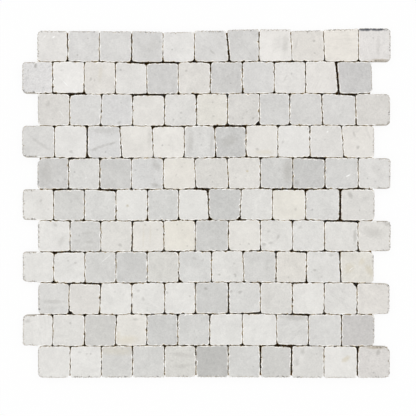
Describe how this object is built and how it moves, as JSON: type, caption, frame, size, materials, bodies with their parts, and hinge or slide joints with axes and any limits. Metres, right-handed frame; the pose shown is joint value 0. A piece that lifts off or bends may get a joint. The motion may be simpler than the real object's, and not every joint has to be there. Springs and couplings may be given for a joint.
{
  "type": "mosaic tile sheet",
  "caption": "Square sheet of small tumbled marble stones in running bond, bonded to an open glass-fibre net, with stepped side edges that interlock with the next sheet.",
  "frame": {"origin": "middle of the sheet on the underside of its net, which is what the sheet lies on", "axes": "+X along the courses, +Y up the sheet as seen from its face, +Z out of its face"},
  "size_m": [0.3205, 0.3041, 0.0108],
  "materials": {
    "tumbled_marble": "tumbled, matt",
    "glass_fibre_net": "woven glass fibre, sized"
  },
  "bodies": {
    "root": {"stone_course_01": "tumbled_marble", "stone_course_02": "tumbled_marble", "stone_course_03": "tumbled_marble", "stone_course_04": "tumbled_marble", "stone_course_05": "tumbled_marble", "stone_course_06": "tumbled_marble", "stone_course_07": "tumbled_marble", "stone_course_08": "tumbled_marble", "stone_course_09": "tumbled_marble", "stone_course_10": "tumbled_marble", "stone_course_11": "tumbled_marble", "net_warp": "glass_fibre_net", "net_weft": "glass_fibre_net"}
  },
  "joints": []
}
